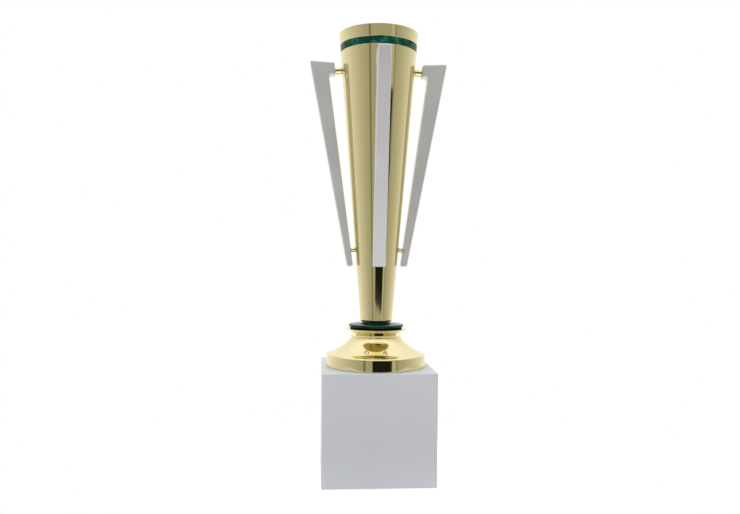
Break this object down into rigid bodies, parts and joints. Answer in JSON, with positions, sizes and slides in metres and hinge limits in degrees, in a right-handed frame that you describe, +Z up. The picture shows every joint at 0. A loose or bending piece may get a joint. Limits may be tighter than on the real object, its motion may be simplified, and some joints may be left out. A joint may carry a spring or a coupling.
{
  "type": "cup trophy",
  "caption": "Tall gilt cone cup with a green marbled band and ring, hooked silver fins round it on gold spacers, a turned foot and a square silver block.",
  "frame": {"origin": "centre of the block's underside, on the trophy's axis", "axes": "+Z up along the cup's axis, -Y out of the block's front face, one fin on each of +X, -X, +Y and -Y"},
  "size_m": [0.1264, 0.1264, 0.4042],
  "materials": {
    "polished_gold": "mirror polished pale gold plating",
    "green_marble": "glossy dark green with black and pale veins",
    "satin_silver": "satin silver",
    "block_lacquer": "fine satin silver metallic lacquer over fibreboard",
    "zinc_steel": "zinc plated",
    "black_nylon": "matt black"
  },
  "bodies": {
    "root": {"base_block": "block_lacquer", "base_nut": "zinc_steel", "base_washer": "zinc_steel", "cup_nut": "zinc_steel", "cup_shell": "polished_gold", "cup_washer": "zinc_steel", "fin_back": "satin_silver", "fin_front": "satin_silver", "fin_left": "satin_silver", "fin_right": "satin_silver", "foot_shell": "polished_gold", "lower_screw_back": "zinc_steel", "lower_screw_front": "zinc_steel", "lower_screw_left": "zinc_steel", "lower_screw_right": "zinc_steel", "lower_spacer_back": "polished_gold", "lower_spacer_front": "polished_gold", "lower_spacer_left": "polished_gold", "lower_spacer_right": "polished_gold", "marble_ring": "green_marble", "rim_band": "green_marble", "spacer_disc": "black_nylon", "tie_rod": "zinc_steel", "upper_screw_back": "zinc_steel", "upper_screw_front": "zinc_steel", "upper_screw_left": "zinc_steel", "upper_screw_right": "zinc_steel", "upper_spacer_back": "polished_gold", "upper_spacer_front": "polished_gold", "upper_spacer_left": "polished_gold", "upper_spacer_right": "polished_gold"}
  },
  "joints": []
}
